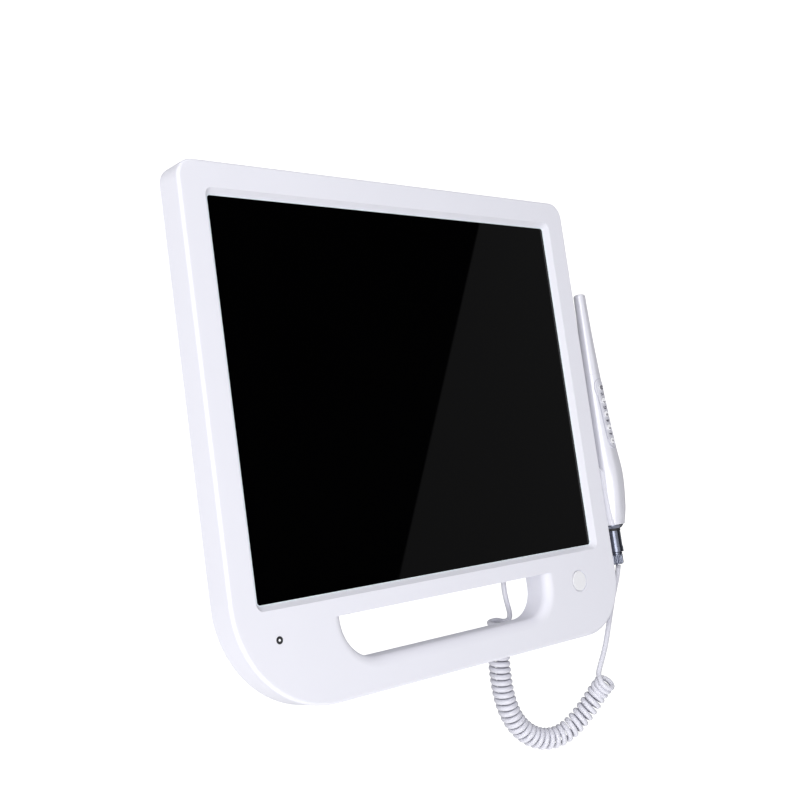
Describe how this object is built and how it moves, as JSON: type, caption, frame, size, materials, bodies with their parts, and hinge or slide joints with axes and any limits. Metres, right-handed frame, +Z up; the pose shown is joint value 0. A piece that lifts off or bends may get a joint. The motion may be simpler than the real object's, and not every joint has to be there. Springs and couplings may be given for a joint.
{
  "type": "intraoral camera",
  "caption": "Flat 5:4 monitor with a hand opening in its lower frame and a slim dental camera handpiece that lifts out of a side cup on a curly lead.",
  "frame": {"origin": "centre of the four arm-mount holes, on the rear mount face", "axes": "+Z up, -Y out of the screen towards the viewer, +X to the viewer's right"},
  "size_m": [0.4171, 0.0599, 0.4493],
  "materials": {
    "housing_white": "gloss",
    "handpiece_white": "gloss",
    "key_white": "satin",
    "panel_grey": "matte",
    "screen_black": "gloss",
    "lcd_black": "satin",
    "acrylic": "gloss",
    "lens_glass": "gloss",
    "sheet_steel": "satin",
    "connector_steel": "brushed",
    "screw_steel": "satin",
    "brass": "satin",
    "heat_sink_aluminium": "matte",
    "circuit_green": "satin",
    "black_plastic": "satin",
    "socket_metal": "satin",
    "seal_black": "matte",
    "lamp_white": "gloss",
    "cord_white": "satin"
  },
  "bodies": {
    "monitor": {"front_housing": "housing_white", "rear_cover": "housing_white", "bulge_cover": "housing_white", "bulge_screws": "screw_steel", "cover_screws": "screw_steel", "arm_inserts": "brass", "arm_plate": "sheet_steel", "screen_glass": "screen_black", "lcd_cell": "lcd_black", "light_guide": "acrylic", "lcd_tray": "sheet_steel", "panel_brackets": "sheet_steel", "panel_screws": "screw_steel", "chassis_plate": "sheet_steel", "board_standoffs": "brass", "board_screws": "screw_steel", "main_board": "circuit_green", "heat_sink": "heat_sink_aluminium", "power_board": "circuit_green", "dc_jack": "black_plastic", "hdmi_socket": "socket_metal", "usb_sockets": "socket_metal", "wand_socket": "black_plastic", "power_switch": "black_plastic", "key_board": "circuit_green", "receiver_ring": "black_plastic", "receiver_lens": "lamp_white", "receiver_board": "circuit_green", "small_board_screws": "screw_steel", "wand_holder": "housing_white", "holder_screws": "screw_steel", "rear_plug": "black_plastic", "plug_boot": "cord_white", "cord_upper": "cord_white", "cord_coil": "cord_white", "cord_tail": "cord_white"},
    "power_key": {"power_button": "key_white"},
    "handpiece": {"tip_tube": "handpiece_white", "body_front_shell": "handpiece_white", "body_rear_shell": "handpiece_white", "control_panel": "panel_grey", "handpiece_board": "circuit_green", "key_switches": "black_plastic", "tip_window": "lens_glass", "tip_lamps": "lamp_white", "lens_barrel": "black_plastic", "sensor_board": "circuit_green", "base_ring": "connector_steel", "seal_ring": "seal_black", "connector_sleeve": "connector_steel"},
    "nut": {"lock_nut": "connector_steel"},
    "key_1_body": {"key_1": "key_white"},
    "key_2_body": {"key_2": "key_white"},
    "key_3_body": {"key_3": "key_white"},
    "key_4_body": {"key_4": "key_white"},
    "key_5_body": {"key_5": "key_white"}
  },
  "joints": [
    {"name": "power_press", "type": "slide", "parent": "monitor", "child": "power_key", "axis": [0, 1, 0], "range_m": [0, 0.0012], "stiffness_N_per_m": 500, "springref_m": -0.001},
    {"name": "handpiece_lift", "type": "slide", "parent": "monitor", "child": "handpiece", "axis": [0, 0, 1], "range_m": [0, 0.09], "deforming": ["cord_upper", "cord_coil"]},
    {"name": "nut_turn", "type": "hinge", "parent": "handpiece", "child": "nut", "pos_m": [0.21, -0.0387, -0.1507], "axis": [0, 0, 1], "continuous": true},
    {"name": "key_1_press", "type": "slide", "parent": "handpiece", "child": "key_1_body", "axis": [0, 1, 0], "range_m": [0, 0.0006], "stiffness_N_per_m": 400, "springref_m": -0.001},
    {"name": "key_2_press", "type": "slide", "parent": "handpiece", "child": "key_2_body", "axis": [0, 1, 0], "range_m": [0, 0.0006], "stiffness_N_per_m": 400, "springref_m": -0.001},
    {"name": "key_3_press", "type": "slide", "parent": "handpiece", "child": "key_3_body", "axis": [0, 1, 0], "range_m": [0, 0.0006], "stiffness_N_per_m": 400, "springref_m": -0.001},
    {"name": "key_4_press", "type": "slide", "parent": "handpiece", "child": "key_4_body", "axis": [0, 1, 0], "range_m": [0, 0.0006], "stiffness_N_per_m": 400, "springref_m": -0.001},
    {"name": "key_5_press", "type": "slide", "parent": "handpiece", "child": "key_5_body", "axis": [0, 1, 0], "range_m": [0, 0.0006], "stiffness_N_per_m": 400, "springref_m": -0.001}
  ]
}
